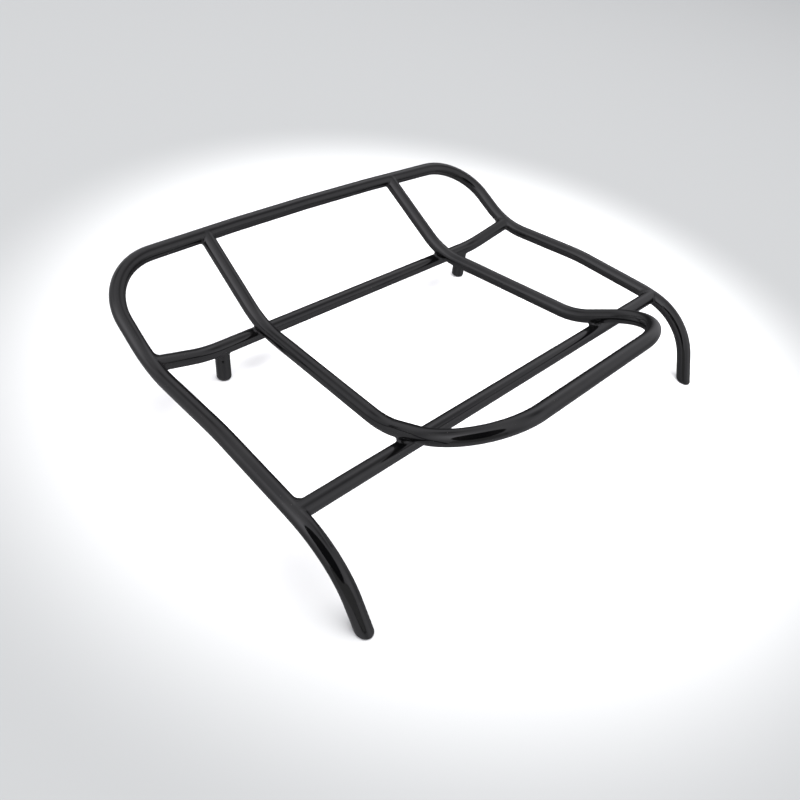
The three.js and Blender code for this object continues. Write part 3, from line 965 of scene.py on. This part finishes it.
studio = {
    "base": 0.86,
    "gain": 1.10,
    "tint": (0.96, 0.953, 1.0, 1),
    "dimmest": 0.05,
    "shades": {                # azimuth from +Y towards +X, elevation, tightness, brightness added
        "nearWall": (-105, 50, 5, 0.30),
        "behindTable": (52, -38, 2.6, -0.70),
        "underTable": (0, -90, 3.0, -0.28),
        "lowRight": (114, -32, 10, -0.18),
        "behindGap": (46, 3, 13, -0.42),
        "behindWall": (60, 44, 26, 0.40),
        "rightGap": (122, -4, 16, -0.38),
        "rightSeam": (118, 54, 45, -0.45),
        "behindSeam": (88, 57, 45, -0.30),
        "rearSeam": (-8, 38, 40, -0.50),
        "leftSeam": (-44, 43, 50, -0.35),
        "leftGap": (-34, 8, 12, -0.28),
        "leftWall": (-77, 32, 9, 0.85),
        "rightWall": (156, 18, 12, 0.25),
        "lowFront": (-165, -12, 8, -0.35),
        "lowLeft": (-70, -36, 5, -0.34),
    },
}


def wayTo(azimuth, elevation):
    a, e = math.radians(azimuth), math.radians(elevation)
    return (math.sin(a) * math.cos(e), math.cos(a) * math.cos(e), math.sin(e))


def addStudio():
    # brightness in a direction = base + sum of add · exp(tightness · (cos of the angle to a shade - 1))
    s = studio
    world = bpy.data.worlds.new("softStudio")
    bpy.context.scene.world = world
    world.use_nodes = True
    bench = Bench(world.node_tree)
    where = bench.add("ShaderNodeTexCoord", {}, {}, 0)
    look = bench.add("ShaderNodeVectorMath", {"operation": "NORMALIZE"}, {0: where})

    def facing(azimuth, elevation):
        way = wayTo(azimuth, elevation)
        return bench.add("ShaderNodeVectorMath", {"operation": "DOT_PRODUCT"}, {0: look, 1: way}, 1)

    light = s["base"]
    for azimuth, elevation, tightness, added in s["shades"].values():
        nearness = (facing(azimuth, elevation) - 1) * tightness
        light = bench.add("ShaderNodeMath", {"operation": "EXPONENT"}, {0: nearness}) * added + light
    strength = bench.add("ShaderNodeMath", {"operation": "MAXIMUM"}, {0: light * s["gain"], 1: s["dimmest"]})
    glow = bench.add("ShaderNodeBackground", {}, {"Color": s["tint"], "Strength": strength})
    bench.add("ShaderNodeOutputWorld", {}, {"Surface": glow})


softBox = {
    "height": 4.0,
    "size": 4.0,
    "power": 290,
}


def addSoftBox():
    box = bpy.data.lights.new("softBox", "AREA")
    box.shape, box.size, box.energy = "DISK", softBox["size"], softBox["power"]
    lamp = bpy.data.objects.new("softBox", box)
    lamp.location = (0, 0.1, softBox["height"])
    lamp.visible_glossy = False                    # it only lifts the sheet
    bpy.context.scene.collection.objects.link(lamp)


cardSides = 96
studioCards = {
    # centre, the place it faces, half width and half height, roll in degrees, squareness, brightness
    "roundFlag": ((-0.352, -0.262, 0.268), (0.0, 0.02, 0.05), (0.225, 0.215), 0, 2.0, 0.02),
    "frontPanel": ((-0.395, -0.410, -0.002), (-0.22, -0.12, 0.03), (0.27, 0.115), 9, 4.0, 0.42),
    "panelBorder": ((-0.400, -0.418, -0.003), (-0.22, -0.12, 0.03), (0.288, 0.128), 9, 4.0, 0.04),
}


def addCards():
    # two black cards and a grey one, seen only in reflections; an outline is |x/a|^n + |y/b|^n = 1, and
    # n is its squareness
    for name, (spot, target, halves, roll, squareness, brightness) in studioCards.items():
        centre = np.array(spot)
        way = unit(np.array(target) - centre)
        level = unit(np.cross(way, [0, 0, 1]))
        upright = np.cross(level, way)
        r = math.radians(roll)
        across = math.cos(r) * level + math.sin(r) * upright
        upward = math.cos(r) * upright - math.sin(r) * level
        angles = np.arange(cardSides)[:, None] * 2 * math.pi / cardSides
        x, y = np.cos(angles), np.sin(angles)
        size = (np.abs(x) ** squareness + np.abs(y) ** squareness) ** (-1 / squareness)
        rim = centre + size * (halves[0] * x * across + halves[1] * y * upward)
        mesh = bpy.data.meshes.new(name)
        mesh.from_pydata(rim.tolist(), [], [tuple(range(cardSides))])
        card = bpy.data.objects.new(name, mesh)
        bpy.context.scene.collection.objects.link(card)
        material, bench = newMaterial(name)
        glow = bench.add("ShaderNodeEmission", {}, {"Strength": brightness})
        bench.add("ShaderNodeOutputMaterial", {}, {"Surface": glow})
        mesh.materials.append(material)
        card.visible_camera = card.visible_diffuse = card.visible_shadow = False


addCamera()
addFloor()
addBackdrop()
addStudio()
addSoftBox()
addCards()
bpy.context.scene.view_settings.view_transform = "Standard"
print("camera, floor and light ready")
